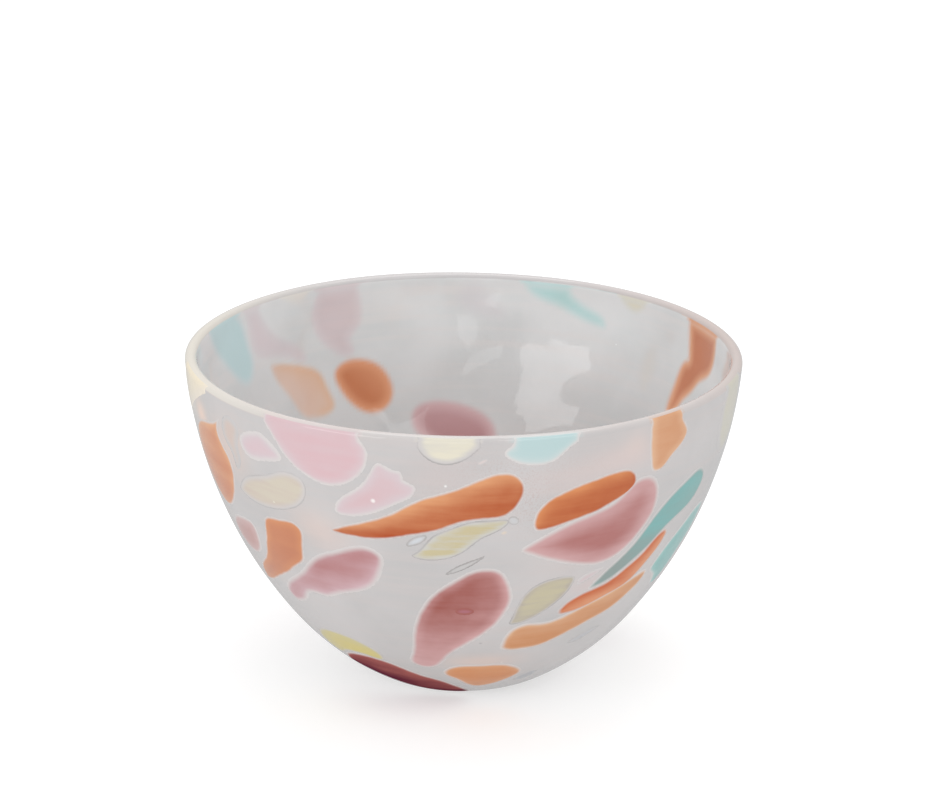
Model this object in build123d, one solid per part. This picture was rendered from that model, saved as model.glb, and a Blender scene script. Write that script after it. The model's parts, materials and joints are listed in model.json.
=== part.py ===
from build123d import *
import os
from math import asin, cos, degrees, radians, sin

os.makedirs("parts", exist_ok=True)

# A blown glass bowl. Pieces of coloured glass were rolled onto a milky white body while it was
# hot, and melted into its outer face. Lengths are millimetres and angles are degrees.
# +Z is up, and the origin is on the bowl's axis, at the plane that it stands on.
# An azimuth is measured around +Z from -Y, which is the front, towards +X.

# The outer face is three tangent arcs from the lip down to the flat foot. An angle is how far
# the face leans inwards from the vertical.
RIM_RADIUS = 90.0
RIM_LEAN = 4.26
SIDE_ARC = 150.0
SIDE_END = 39.0
BELLY_ARC = 92.0
BELLY_END = 59.0
CORNER_ARC = 18.0
FLAT = 90.0

# The glass is thin at the lip and thick in the floor.
RIM_THICKNESS = 3.8
FLOOR_THICKNESS = 7.0
INNER_TURN = 40.0

# The ground pontil mark under the foot.
PONTIL_RADIUS = 14.0
PONTIL_DEPTH = 0.8

# How deep a coloured piece sits in the wall, and how far it stands proud of it.
CHIP_DEPTH = 1.2
CHIP_PROUD = 0.12
CHIP_REACH = 15.0

# A piece that meets the lip stops at this height, where the lip starts to turn over.
LIP = 106.4

# A corner in an outline. Every other point is passed smoothly.
TIP = "tip"


def drop(radius, start, end):
    """How far an arc of the face falls between two leans."""
    return radius * (sin(radians(end)) - sin(radians(start)))


def draw_in(radius, start, end):
    """How far the same arc moves in towards the axis."""
    return radius * (cos(radians(start)) - cos(radians(end)))


OUTER_ARCS = [
    (SIDE_ARC, RIM_LEAN, SIDE_END),
    (BELLY_ARC, SIDE_END, BELLY_END),
    (CORNER_ARC, BELLY_END, FLAT),
]
WALL_HEIGHT = sum(drop(*arc) for arc in OUTER_ARCS)
FOOT_RADIUS = RIM_RADIUS - sum(draw_in(*arc) for arc in OUTER_ARCS)


def outer_face(height):
    """Radius and inward lean of the outer face at a height."""
    top = WALL_HEIGHT
    radius = RIM_RADIUS
    for arc_radius, start, end in OUTER_ARCS:
        fall = drop(arc_radius, start, end)
        if height >= top - fall - 1e-9:
            lean = degrees(asin(sin(radians(start)) + (top - height) / arc_radius))
            return radius - draw_in(arc_radius, start, lean), lean
        top -= fall
        radius -= draw_in(arc_radius, start, end)
    return radius, FLAT


def on_outer_face(azimuth, height):
    radius, _ = outer_face(height)
    return Vector(radius * sin(radians(azimuth)), -radius * cos(radians(azimuth)), height)


def fall_line(start, lean, arcs):
    """The chain of arcs that a face follows downwards from a point near the lip."""
    direction = (-sin(radians(lean)), -cos(radians(lean)))
    lines = []
    for radius, lean_from, lean_to in arcs:
        arc = JernArc(start, direction, radius, lean_from - lean_to)
        lines.append(arc)
        start = arc @ 1
        direction = arc % 1
    return lines


def inner_arcs(start_radius, start_height):
    """Two tangent arcs from the inside of the lip to the middle of the floor."""
    turn = radians(INNER_TURN)
    lean = radians(RIM_LEAN)
    fall = start_height - FLOOR_THICKNESS
    side_fall = sin(turn) - sin(lean)
    side_in = cos(lean) - cos(turn)
    floor_fall = 1 - sin(turn)
    floor_in = cos(turn)
    scale = side_fall * floor_in - side_in * floor_fall
    side = (fall * floor_in - start_radius * floor_fall) / scale
    floor = (start_radius * side_fall - fall * side_in) / scale
    return [(side, RIM_LEAN, INNER_TURN), (floor, INNER_TURN, FLAT)]


def make_body():
    """The milky body before the pockets: one turned section."""
    lean = radians(RIM_LEAN)
    outer_top = Vector(RIM_RADIUS, WALL_HEIGHT)
    inner_top = outer_top + Vector(-cos(lean), sin(lean)) * RIM_THICKNESS
    lip_top = (outer_top + inner_top) * 0.5 + Vector(sin(lean), cos(lean)) * RIM_THICKNESS / 2
    pontil_dome = (PONTIL_RADIUS**2 + PONTIL_DEPTH**2) / (2 * PONTIL_DEPTH)
    pontil_turn = degrees(asin(PONTIL_RADIUS / pontil_dome))
    with BuildPart() as body:
        with BuildSketch(Plane.XZ):
            with BuildLine():
                outer = fall_line(outer_top, RIM_LEAN, OUTER_ARCS)
                inner = fall_line(inner_top, RIM_LEAN, inner_arcs(inner_top.X, inner_top.Y))
                ThreePointArc(inner_top, lip_top, outer_top)
                pontil = JernArc((0, PONTIL_DEPTH), (1, 0), pontil_dome, -pontil_turn)
                Line(outer[-1] @ 1, pontil @ 1)
                Line(pontil @ 0, inner[-1] @ 1)
            make_face()
        revolve(axis=Axis.Z)
    return body.part


def make_skin():
    """The layer of the wall that the coloured pieces sit in."""
    lean = radians(RIM_LEAN)
    outward = Vector(cos(lean), -sin(lean))
    outer_top = Vector(RIM_RADIUS, WALL_HEIGHT) + outward * CHIP_PROUD
    inner_top = Vector(RIM_RADIUS, WALL_HEIGHT) - outward * CHIP_DEPTH
    outside = [(radius + CHIP_PROUD, start, end) for radius, start, end in OUTER_ARCS]
    inside = [(radius - CHIP_DEPTH, start, end) for radius, start, end in OUTER_ARCS]
    with BuildPart() as skin:
        with BuildSketch(Plane.XZ):
            with BuildLine():
                outer = fall_line(outer_top, RIM_LEAN, outside)
                inner = fall_line(inner_top, RIM_LEAN, inside)
                Line(inner_top, outer_top)
                Line(outer[-1] @ 1, inner[-1] @ 1)
            make_face()
        revolve(axis=Axis.Z)
    return skin.part


def facing_plane(outline):
    """The plane that touches the outer face at the middle of an outline."""
    azimuths = [point[0] for point in outline]
    heights = [point[1] for point in outline]
    azimuth = (min(azimuths) + max(azimuths)) / 2
    height = (min(heights) + max(heights)) / 2
    _, lean = outer_face(height)
    across = radians(azimuth)
    level = cos(radians(lean))
    outward = Vector(level * sin(across), -level * cos(across), -sin(radians(lean)))
    return Plane(on_outer_face(azimuth, height), x_dir=(cos(across), sin(across), 0), z_dir=outward)


def split_at_corners(outline):
    """The runs of points between corners, or one closed run where there is no corner."""
    corners = [number for number, point in enumerate(outline) if TIP in point]
    if not corners:
        return []
    loop = outline[corners[0]:] + outline[:corners[0] + 1]
    runs = [[loop[0]]]
    for point in loop[1:]:
        runs[-1].append(point)
        if TIP in point:
            runs.append([point])
    return runs[:-1]


def make_chip(outline, skin):
    """A coloured piece: its outline, pushed square to the wall through the skin layer."""
    plane = facing_plane(outline)

    def flatten(point):
        local = plane.to_local_coords(on_outer_face(point[0], point[1]))
        return (local.X, local.Y)

    runs = split_at_corners(outline)
    with BuildPart() as blank:
        with BuildSketch(plane):
            with BuildLine():
                if not runs:
                    Spline(*[flatten(point) for point in outline], periodic=True)
                for run in runs:
                    points = [flatten(point) for point in run]
                    if len(points) == 2:
                        Line(*points)
                    else:
                        Spline(*points)
            make_face()
        extrude(amount=CHIP_REACH, both=True)
    return (blank.part & skin).solids()[0]


# Outlines of the coloured pieces, as (azimuth, height) in order around each one.
OUTLINES = {
    # Front, along the lip.
    "orange_far_left": [
        (-57.8, 100.3, TIP), (-59, 92.5), (-56.2, 87), (-56.6, 78.5), (-60, 71),
        (-66.5, 66.7), (-71.5, 70), (-74.5, 77), (-75, 86), (-72, 92), (-65, 95.7),
    ],
    "pink_rim_left": [
        (-42.6, LIP, TIP), (-40, 101.3), (-36.6, 95), (-32.5, 91.2), (-27.5, 89.4),
        (-23.2, 91.3), (-19.6, 96.5), (-18.6, 102), (-20.5, LIP, TIP),
    ],
    "cream_rim_front": [
        (-8.9, LIP, TIP), (-7.6, 103), (-5.2, 100.7), (-2.2, 100.4), (1, 102.6), (3.6, LIP, TIP),
    ],
    "pale_turquoise_rim": [
        (10, LIP, TIP), (8, 103.2), (9.6, 101.3), (14.5, 99.6), (17.8, 100.5),
        (20.5, 103.8), (23.6, LIP, TIP),
    ],
    "orange_rim_right": [
        (39.2, LIP, TIP), (39.5, 100), (40.2, 94.5), (41.5, 90.6), (43.5, 90.5),
        (46.5, 94.2), (49.6, 97.8), (50.4, 101), (49.2, 104), (48.3, LIP, TIP),
    ],
    "yellow_rim_right": [
        (66, LIP, TIP), (64.5, 98), (66, 89), (70, 84), (75, 86), (77.5, 94), (77, LIP, TIP),
    ],
    "cream_rim_left": [
        (-62.5, LIP, TIP), (-69, 101.8), (-75.5, 96.5), (-81, 93.5), (-83.5, 98), (-80, LIP, TIP),
    ],
    # Front, upper wall.
    "pink_small": [
        (-44.4, 101.6), (-40.3, 98.5), (-38.4, 95), (-42, 92.5), (-50, 93.3),
        (-50.6, 96.5), (-48, 100),
    ],
    "peach_left": [
        (-56.6, 100), (-53.8, 102.6), (-50.8, 99.8), (-51.8, 93.5), (-51.8, 87.5),
        (-53.5, 85), (-54.2, 89), (-56.2, 93.5),
    ],
    "pink_shard": [
        (-12, 97.3, TIP), (-11.6, 94.3, TIP), (-9.2, 92.6, TIP), (-9.6, 89.8),
        (-12.8, 86.4), (-17, 82.9), (-23.4, 79.9), (-26.6, 80.2, TIP), (-26.2, 83.4),
        (-21, 90.3), (-18.6, 95), (-16.4, 99.3), (-14.4, 98),
    ],
    "cream_left": [
        (-54.6, 77.7, TIP), (-50, 84), (-43, 87.6), (-37.5, 90.6), (-33.4, 88.5),
        (-33.8, 83), (-38, 77.8), (-45, 75.3), (-51, 75.6),
    ],
    "orange_ribbon": [
        (-28.7, 73.6, TIP), (-22, 77.8), (-15, 82.2), (-9, 87.8), (-1, 92.5), (5.3, 96.8),
        (9.5, 97.2), (11.9, 94), (11.6, 89), (8.8, 83.6), (4.5, 82.4), (-1.5, 80.7),
        (-4.5, 78.6), (-10, 76.2), (-17, 73.6), (-24, 73),
    ],
    "yellow_leaf": [
        (-11, 67.8, TIP), (-8, 71.8), (-6.2, 75.2), (-2.8, 78), (1.5, 80.7), (6.5, 81.3),
        (9.5, 81), (8, 78.2), (4, 75), (2, 72.3), (-0.5, 69.3), (-4, 67.2), (-8, 66.7),
    ],
    "clear_splinter": [
        (-11.8, 71.2, TIP), (-10.9, 73.6), (-8.8, 75.3), (-7.2, 75.8, TIP), (-7.8, 73.9),
        (-9.4, 72.2),
    ],
    "orange_lozenge": [
        (14.6, 78.3), (14.7, 81.5), (17, 86.8), (20.5, 89.7), (27, 92.6), (32.3, 93.8),
        (36, 92.6), (36.6, 89), (33, 84.9), (28.5, 82.1), (21.8, 79.4), (16.5, 77.6),
    ],
    "rose_leaf": [
        (12.8, 70, TIP), (18.5, 75), (25.3, 79.2), (30, 81.1), (34, 84.3), (37.9, 88.8),
        (41.5, 88.2), (44.1, 82), (44.1, 76), (41.8, 69.8), (38, 63.8), (33, 61.2),
        (26.5, 62.4), (20, 65.4),
    ],
    "turquoise_sweep": [
        (31.7, 50.9, TIP), (35.5, 57), (40.5, 63.8), (43.4, 69.5), (46.5, 75.3), (50.2, 79.6),
        (55, 82.9), (59.5, 84), (62, 80.5), (60.5, 74), (55, 69.8), (50.8, 67), (46.8, 62.2),
        (42.5, 57.5), (37, 52.8),
    ],
    # Front, belly.
    "rose_far_left": [
        (-65.9, 54.2), (-66.8, 58.5), (-64.3, 63.2), (-59, 65.6), (-54, 65.2), (-53.8, 60.5),
        (-55.4, 55.8), (-58.6, 52.5), (-62.5, 51.9),
    ],
    "orange_block": [
        (-47.5, 70.6), (-43, 72.1), (-38.5, 72.6), (-36.7, 70.8), (-37.2, 65.5), (-38.8, 59.2),
        (-42.3, 55.5), (-46, 51.9), (-52.4, 47.1), (-58.4, 43.2), (-64, 41.3, TIP),
        (-60.1, 48.3), (-54.8, 53.2), (-51.2, 60), (-49, 66),
    ],
    "rose_kidney": [
        (-51.8, 38.2), (-52.8, 41), (-50, 45.5), (-46, 49.1), (-41.5, 53.1), (-38, 57.6),
        (-33.5, 62.6), (-28.7, 65.8), (-24, 68.6), (-20, 69.2), (-17.3, 66.3), (-17.8, 61.2),
        (-20.2, 55.2), (-24.5, 51), (-30.5, 48.2), (-36, 45.2), (-41.5, 44.6), (-44.5, 41),
        (-48.5, 38.1),
    ],
    "clear_sliver_middle": [
        (-3.7, 61.2, TIP), (-2.2, 63.3), (1, 66), (5.3, 68.8, TIP), (3.2, 66.2), (0.2, 63.3),
    ],
    "rose_centre": [
        (5.5, 63.8), (9, 61.9), (11, 57), (12, 51.5), (11.2, 46), (8.8, 39.8), (5.2, 35),
        (1.2, 31), (-3, 26.6), (-6.6, 21.3), (-9.8, 19), (-14, 18.9), (-16.5, 20.6),
        (-15.3, 26), (-13.7, 33), (-12.2, 40), (-9.6, 47.6), (-6, 54.3), (-1, 60),
    ],
    "olive_lens": [
        (12.5, 40.3, TIP), (13.6, 46), (14.9, 51.8), (17.2, 55.4), (21, 57.4),
        (26.6, 57.2, TIP), (26.2, 53.6), (24.3, 49.2), (20.6, 44.6), (16.6, 41.3),
    ],
    "pink_wisp": [
        (27.8, 53.4, TIP), (31.3, 55.4), (34.6, 58.9, TIP), (31, 58), (28.2, 56.2),
    ],
    "red_sliver": [
        (25.9, 43.5, TIP), (29, 47.6), (32.5, 49.3), (37, 50.9), (41.8, 54.7), (46.4, 59.4),
        (50, 64.6), (51.7, 65.2, TIP), (50.8, 61.5), (47.9, 55.6), (44.3, 50.3), (38.5, 47.4),
        (31, 44.2),
    ],
    "orange_streak": [
        (11.8, 29.8), (12.2, 33.4), (14.4, 38), (17, 39.3), (22, 39), (26, 40), (30.5, 42.4),
        (36, 45.2), (41, 47.4), (46, 49.6), (51.3, 50.3), (51, 47), (47.5, 42.3), (44, 38.9),
        (38.5, 36.3), (33.5, 33.7), (28.5, 30.8), (24, 28.6), (17.5, 27.9), (13.5, 28.2),
    ],
    "turquoise_far_right": [
        (53, 51.5), (56.3, 59.2), (60, 63.5), (65, 67.8), (69.2, 67.6), (70.2, 62), (68.3, 55),
        (65.8, 48.5), (62.8, 41.5), (59.8, 41), (57.4, 45.3),
    ],
    # Front, low on the belly and round the foot.
    "clear_sliver_low": [
        (34.2, 26.7, TIP), (37.5, 29.4), (44.8, 31, TIP), (41, 28), (37, 26.3),
    ],
    "clear_spot_low": [
        (22.8, 10.3), (26, 13.5), (29.5, 14.2), (31.5, 12), (29, 9.6), (24.8, 8.9),
    ],
    "yellow_low_left": [
        (-54.2, 19.5), (-52.5, 23.5), (-47.5, 26.8), (-41.5, 27.8), (-35.5, 27.3),
        (-30.5, 25.2), (-27.2, 21.4), (-27.8, 19.8), (-33, 20.1), (-39.5, 19.9),
        (-45, 18.4), (-50.5, 16.2),
    ],
    "maroon_low_left": [
        (-48.6, 13.8), (-44, 17), (-38, 18.6), (-30, 18.8), (-23, 16.8), (-16, 13.4),
        (-9.8, 11.3), (-4.5, 8.4), (0.5, 5.2), (1.6, 3.7), (-4, 3.1), (-14, 3.1), (-23, 4),
        (-32, 6), (-40, 8.9), (-45.5, 11.3),
    ],
    "orange_low_front": [
        (-6.2, 15.6), (-4.6, 19), (-0.5, 20.8), (6, 21), (13.5, 20.9), (18.6, 19.2), (23, 15),
        (20.8, 11.9), (17, 9.5), (12, 7.7), (7.5, 7.1), (3.2, 8.2), (0, 10.6), (-3, 13),
    ],
    # Back, along the lip.
    "orange_rim_back": [
        (104.6, LIP, TIP), (104.3, 98), (106, 91.8), (109.8, 87.8), (112.3, 83.2), (115, 79),
        (117, 74), (119.5, 72.5), (120.3, 77), (119.9, 83), (119.2, 88.3), (118.2, 91.3),
        (116.3, 92.4, TIP), (117.4, 98), (118.1, LIP, TIP),
    ],
    "cream_rim_back": [
        (134, LIP, TIP), (134.8, 103.8), (137, 102.3), (139.4, 103.6), (141.2, LIP, TIP),
    ],
    "turquoise_rim_back": [
        (144.6, 94.2, TIP), (145.2, 96.8), (149, 99.6), (153, 102.5), (155, LIP, TIP),
        (166, LIP, TIP), (163.5, 102.2), (158.3, 99.4), (152.3, 96.2),
    ],
    "pink_rim_back": [
        (206, LIP, TIP), (204.9, 98), (206, 91.5), (208.4, 87), (207.6, 83.5), (209.6, 82),
        (212.7, 83.8), (216.2, 88.6), (218.1, 95), (217.6, 101), (215.4, LIP, TIP),
    ],
    "cream_rim_back_left": [
        (219.2, LIP, TIP), (220.5, 104.6), (223.2, 104.4), (226, LIP, TIP),
    ],
    "pink_sickle_back": [
        (221, 83.4), (222.4, 88), (226, 91.6), (230, 95.4), (232.4, 100), (234.6, LIP, TIP),
        (239.4, LIP, TIP), (238.6, 98), (237.2, 90.4), (232, 87.6), (226, 85.2),
    ],
    "pale_turquoise_back": [
        (244, LIP, TIP), (241.4, 101), (240.4, 94), (239.8, 88), (241.5, 84.2), (245.5, 86.8),
        (249, 92.6), (252.5, 98.5), (256, LIP, TIP),
    ],
    # Back, upper wall.
    "peach_back": [
        (128, 89), (130.2, 92), (132.6, 88), (133, 82.5), (131.8, 77.8), (129.8, 75.8),
        (128.2, 80),
    ],
    "clear_sliver_back": [
        (136.2, 77.8, TIP), (135.8, 74.4), (133, 71.2, TIP), (134.2, 75),
    ],
    "pink_smoke_back": [
        (174.6, 104.2), (181.5, 103.6), (182.6, 100), (180.8, 95.6), (174, 92.6),
        (169.8, 93.4), (171, 98),
    ],
    "orange_oval_back": [
        (198.7, 67.5), (199.4, 73.2), (202, 77.8), (206, 80.2), (210.5, 80.2), (213.6, 77),
        (213, 71.3), (210.6, 66), (206.5, 62), (201.8, 62.2),
    ],
    "pale_orange_back": [
        (215.7, 65.8), (216.4, 72), (218, 78), (222, 81.3), (228, 84), (232.6, 85, TIP),
        (231.2, 79), (228.2, 72), (225.6, 65.5), (220.5, 63.6),
    ],
    "maroon_back": [
        (170.6, 52), (172.5, 57.4), (177.5, 61.3), (183.5, 63.4), (189, 63.6), (193.4, 61),
        (194, 56), (190, 50), (184, 45.5), (176.5, 44), (171.5, 47),
    ],
    # Sides and lower back.
    "rose_right_side": [
        (82, 73), (86, 79), (91, 86), (96, 88.5), (99, 84), (97, 76), (91, 70), (85, 68.5),
    ],
    "cream_right_side": [
        (91, 51), (94, 56.5), (100, 60), (105, 59), (103, 54), (97, 49.5),
    ],
    "orange_right_low": [
        (74, 29), (77, 34), (84, 39), (92, 42), (97, 39), (93, 33), (85, 28), (78, 26),
    ],
    "maroon_right_low": [
        (99, 14), (106, 19.5), (116, 21.5), (125, 19.5), (127, 15), (119, 10.5), (108, 9.5),
    ],
    "turquoise_back_low": [
        (111, 47, TIP), (116, 53.5), (123, 58), (129, 58.5), (131, 54), (127, 47.5), (118, 44),
    ],
    "pink_back_low": [
        (137, 56), (139, 63), (144, 67.5), (149, 64), (149.5, 56), (144, 50.5), (139, 51),
    ],
    "orange_back_low": [
        (136, 24, TIP), (142, 31), (151, 37), (160, 38.5), (164, 34), (158, 27), (147, 22.5),
    ],
    "yellow_back_low": [
        (170, 25), (176, 31), (185, 33.5), (190, 29.5), (184, 24), (176, 21.5),
    ],
    "rose_back_low": [
        (196, 14), (202, 21), (212, 26), (221, 25), (222, 19), (213, 13), (203, 10.5),
    ],
    "orange_left_back": [
        (203, 38), (206, 46), (213, 52.5), (220, 54.5), (225, 51), (221, 42.5), (213, 36),
        (206, 34),
    ],
    "turquoise_left_back": [
        (231, 46), (235, 54), (241, 60.5), (248, 61.5), (249, 55), (244, 47), (236, 42),
    ],
    "pink_left_low": [
        (238, 21), (243, 29), (251, 34), (258, 32.5), (258, 26), (250, 20), (242, 17.5),
    ],
    "orange_left_side": [
        (259, 60), (261, 68), (266, 75, TIP), (273, 76.5), (276, 71), (272, 62), (264, 56.5),
    ],
    "rose_left_side": [
        (261, 92), (263, 99), (268, 102.5), (272, 99), (271, 91), (267, 86), (262.5, 86.5),
    ],
}


body = make_body()
skin = make_skin()
chips = {name: make_chip(outline, skin) for name, outline in OUTLINES.items()}

bowl_wall = body
for chip in chips.values():
    bowl_wall -= chip

export_step(bowl_wall.solids()[0], "parts/bowl_wall.step")
for name, chip in chips.items():
    export_step(chip, f"parts/{name}.step")
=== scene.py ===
import json
import math

import bpy
import numpy as np
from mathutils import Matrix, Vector
from mathutils.geometry import delaunay_2d_cdt


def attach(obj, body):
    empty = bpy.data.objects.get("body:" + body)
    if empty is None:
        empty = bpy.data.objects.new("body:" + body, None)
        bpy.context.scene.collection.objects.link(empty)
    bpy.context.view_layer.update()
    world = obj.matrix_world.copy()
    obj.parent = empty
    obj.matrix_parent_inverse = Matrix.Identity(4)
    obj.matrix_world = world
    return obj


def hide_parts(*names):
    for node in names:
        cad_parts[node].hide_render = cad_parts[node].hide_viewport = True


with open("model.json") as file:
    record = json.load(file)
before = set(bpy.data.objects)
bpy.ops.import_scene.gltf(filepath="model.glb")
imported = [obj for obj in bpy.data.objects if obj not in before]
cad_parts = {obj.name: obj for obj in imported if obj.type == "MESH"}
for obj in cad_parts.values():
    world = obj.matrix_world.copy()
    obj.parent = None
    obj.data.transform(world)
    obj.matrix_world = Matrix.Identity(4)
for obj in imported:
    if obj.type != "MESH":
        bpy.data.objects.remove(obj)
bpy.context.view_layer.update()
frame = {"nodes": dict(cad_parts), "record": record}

MM = 0.001

# The turned section, in millimetres and degrees: the dimensions of the CAD model.
RIM_RADIUS = 90.0
RIM_LEAN = 4.26
OUTER_ARCS = [(150.0, RIM_LEAN, 39.0), (92.0, 39.0, 59.0), (18.0, 59.0, 90.0)]
RIM_THICKNESS = 3.8
FLOOR_THICKNESS = 7.0
INNER_TURN = 40.0
PONTIL_RADIUS = 14.0
PONTIL_DEPTH = 0.8
LIP_LINE = 106.3  # pieces whose outline comes up to here run on over the lip
LIP_SLACK = 0.25
CHIP_PROUD = 0.12  # how far the CAD's pieces stand out of the wall

# The visual pieces, in millimetres.
GROW = 0.5  # melted border around the CAD piece's outline
OUTLINE_STEP = 0.45
BORDER_SINK = 0.07  # how far the border is sunk into the wall
RAMP = 2.2  # how far in from the border a piece rises to its full height
NODE_RISE, BIT_RISE = 0.17, 0.12
CHIP_DEPTH = 1.0
GRID_STEP, FINE_GRID_STEP, GRID_MARGIN = 0.72, 0.4, 0.34
ROW_SPACING = 0.87  # of the grid's step, for rows that are staggered
SMALL_PIECE = 4.0  # across, below which the grid is finer
DEPTH_RAMP = 2.0  # how far in from the border a piece reaches its full depth
FEWEST_POINTS = 12
OVER_LIP_FRONT, OVER_LIP_BACK = 2.2, 0.8

# The wall's mesh: points around it, and rings up it. The foot's rings are given by radius.
COLUMNS = 448
FOOT_RINGS = (3, 6, 9, 12, 13.6, 14.0, 14.4, 16.5, 19, 21.5)
FOOT_BEND, BEND_RINGS = 10, 9  # the last stretch of the outer face has closer rings
SIDE_RINGS, LIP_RINGS, INNER_RINGS = 62, 12, 126
FLOOR_GAP = 1.5  # from the last ring inside to the middle of the floor

MERGE = 0.002  # points of a CAD mesh that are nearer to each other than this are one
BATCH = 2000  # points to measure at a time, which spares memory


# ---------------------------------------------------------------- the section

def walk(radius, height, arcs):
    """Each arc of a face as (start distance, radius, start lean, end lean, centre radius, centre
    height), and the face's whole length."""
    rows, distance = [], 0.0
    for arc, start, end in arcs:
        centre_r = radius - arc * math.cos(math.radians(start))
        centre_z = height + arc * math.sin(math.radians(start))
        rows.append((distance, arc, start, end, centre_r, centre_z))
        distance += arc * math.radians(end - start)
        radius = centre_r + arc * math.cos(math.radians(end))
        height = centre_z - arc * math.sin(math.radians(end))
    return rows, distance


WALL_HEIGHT = sum(r * (math.sin(math.radians(b)) - math.sin(math.radians(a))) for r, a, b in OUTER_ARCS)
OUTER, OUTER_LENGTH = walk(RIM_RADIUS, WALL_HEIGHT, OUTER_ARCS)

LEAN = math.radians(RIM_LEAN)
LIP_RADIUS = RIM_THICKNESS / 2
LIP_CENTRE = (RIM_RADIUS - math.cos(LEAN) * LIP_RADIUS, WALL_HEIGHT + math.sin(LEAN) * LIP_RADIUS)
INNER_TOP = (RIM_RADIUS - math.cos(LEAN) * RIM_THICKNESS, WALL_HEIGHT + math.sin(LEAN) * RIM_THICKNESS)


def inner_arcs():
    """The two tangent arcs from the inside of the lip to the middle of the floor."""
    turn = math.radians(INNER_TURN)
    fall = INNER_TOP[1] - FLOOR_THICKNESS
    side_fall = math.sin(turn) - math.sin(LEAN)
    side_in = math.cos(LEAN) - math.cos(turn)
    floor_fall = 1 - math.sin(turn)
    floor_in = math.cos(turn)
    scale = side_fall * floor_in - side_in * floor_fall
    side = (fall * floor_in - INNER_TOP[0] * floor_fall) / scale
    floor = (INNER_TOP[0] * side_fall - fall * side_in) / scale
    return [(side, RIM_LEAN, INNER_TURN), (floor, INNER_TURN, 90.0)]


INNER, INNER_LENGTH = walk(*INNER_TOP, inner_arcs())


def along(rows, d):
    """(radius, height, lean) at a distance down a face. Above the outer face it goes on round the lip."""
    d = np.asarray(d, float)
    r, z, lean = np.zeros_like(d), np.zeros_like(d), np.zeros_like(d)
    for distance, arc, start, _, centre_r, centre_z in rows:
        here = d >= distance - 1e-9
        angle = np.radians(start) + (d - distance) / arc
        r = np.where(here, centre_r + arc * np.cos(angle), r)
        z = np.where(here, centre_z - arc * np.sin(angle), z)
        lean = np.where(here, angle, lean)
    if rows is OUTER:
        over = d < 0
        angle = LEAN + d / LIP_RADIUS
        r = np.where(over, LIP_CENTRE[0] + LIP_RADIUS * np.cos(angle), r)
        z = np.where(over, LIP_CENTRE[1] - LIP_RADIUS * np.sin(angle), z)
        lean = np.where(over, angle, lean)
    return r, z, lean


def outer_distance(r, z):
    """(distance down the outer face, height above it) of points near the outer face."""
    best = np.full(np.shape(r), 1e9)
    d, proud = np.zeros(np.shape(r)), np.zeros(np.shape(r))
    for distance, arc, start, end, centre_r, centre_z in OUTER:
        angle = np.degrees(np.arctan2(centre_z - z, r - centre_r))
        beyond = np.maximum(np.maximum(start - angle, angle - end), 0)
        closer = beyond < best
        best = np.where(closer, beyond, best)
        d = np.where(closer, distance + arc * np.radians(angle - start), d)
        proud = np.where(closer, np.hypot(r - centre_r, z - centre_z) - arc, proud)
    return d, proud


# ---------------------------------------------------------------- hand-blown unevenness

# Each ripple's number of waves around the bowl, and the millimetres down the face that turn it
# by one more wave.
RIPPLES = ((2, 90), (3, 140), (5, 70), (7, 48), (11, 36), (14, 27), (19, 22))
OUTER_RIPPLE = dict(seed=5, size=0.05, fall=20)
INNER_RIPPLE = dict(seed=11, size=0.19, fall=60)

# How many millimetres from the lip, the foot and the middle of the floor the ripples take to grow.
LIP_CALM, FOOT_CALM, FLOOR_CALM = 10, 22, 60

# The lip's rise and fall, and the heights it starts at and takes to grow.
LIP_SWELL, SWELL_FROM, SWELL_OVER = 0.14, 95, 12


def wave(az, d, seed, size, fall):
    """Low, wide ripples left by blowing and turning, in millimetres. az is in radians, and the
    larger fall is, the less the finer ripples are weakened."""
    rng = np.random.default_rng(seed)
    total = np.zeros(np.broadcast(az, d).shape)
    for around, length in RIPPLES:
        phase, tilt, share = rng.uniform(0, 6.28), rng.choice([-1, 1]), rng.uniform(0.6, 1)
        ripple = share * np.sin(around * az + tilt * d * 6.28 / length + phase)
        total = total + ripple * fall / (fall + around ** 1.5)
    return total * size


def outer_wave(az, d):
    """The outer face's ripples, which die away at the lip and at the foot."""
    calm = np.clip((OUTER_LENGTH - d) / FOOT_CALM, 0, 1) * np.clip((d + 1) / LIP_CALM, 0, 1)
    return wave(az, d, **OUTER_RIPPLE) * calm


def inner_wave(az, d):
    """The inner face's ripples, which die away at the lip and towards the middle of the floor."""
    calm = np.clip((INNER_LENGTH - d) / FLOOR_CALM, 0, 1) ** 3 * np.clip(d / LIP_CALM, 0, 1)
    return wave(az, d, **INNER_RIPPLE) * calm


def lift(az, r, z, lean, height):
    """Points moved out square to a face, with the lip's slight rise and fall."""
    grown = np.clip((z - SWELL_FROM) / SWELL_OVER, 0, 1)
    swell = grown * LIP_SWELL * (np.sin(2 * az + 0.7) + 0.6 * np.sin(5 * az + 2.0))
    r = r + np.cos(lean) * height
    z = z + swell - np.sin(lean) * height
    return np.stack([r * np.sin(az), -r * np.cos(az), z], -1) * MM


# ---------------------------------------------------------------- colours

def linear(rgb):
    c = np.asarray(rgb, float) / 255
    return tuple(np.where(c <= 0.04045, c / 12.92, ((c + 0.055) / 1.055) ** 2.4))


# The colours below are as the glass looks in this soft light. What the surface itself has is
# that less its sheen, over the light that reaches it, which is less inside the bowl.
SHEEN = 0.03
OUTSIDE = 1.12
INSIDE = 0.80
DARKEST, LIGHTEST = 0.012, 0.9


def seen(rgb, light=OUTSIDE):
    return tuple(np.clip((np.array(linear(rgb)) - SHEEN) / light, DARKEST, LIGHTEST))


def mixed(one, other, share):
    """A colour between two others, with that share of the second."""
    return tuple(a * (1 - share) + b * share for a, b in zip(one, other))


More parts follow.
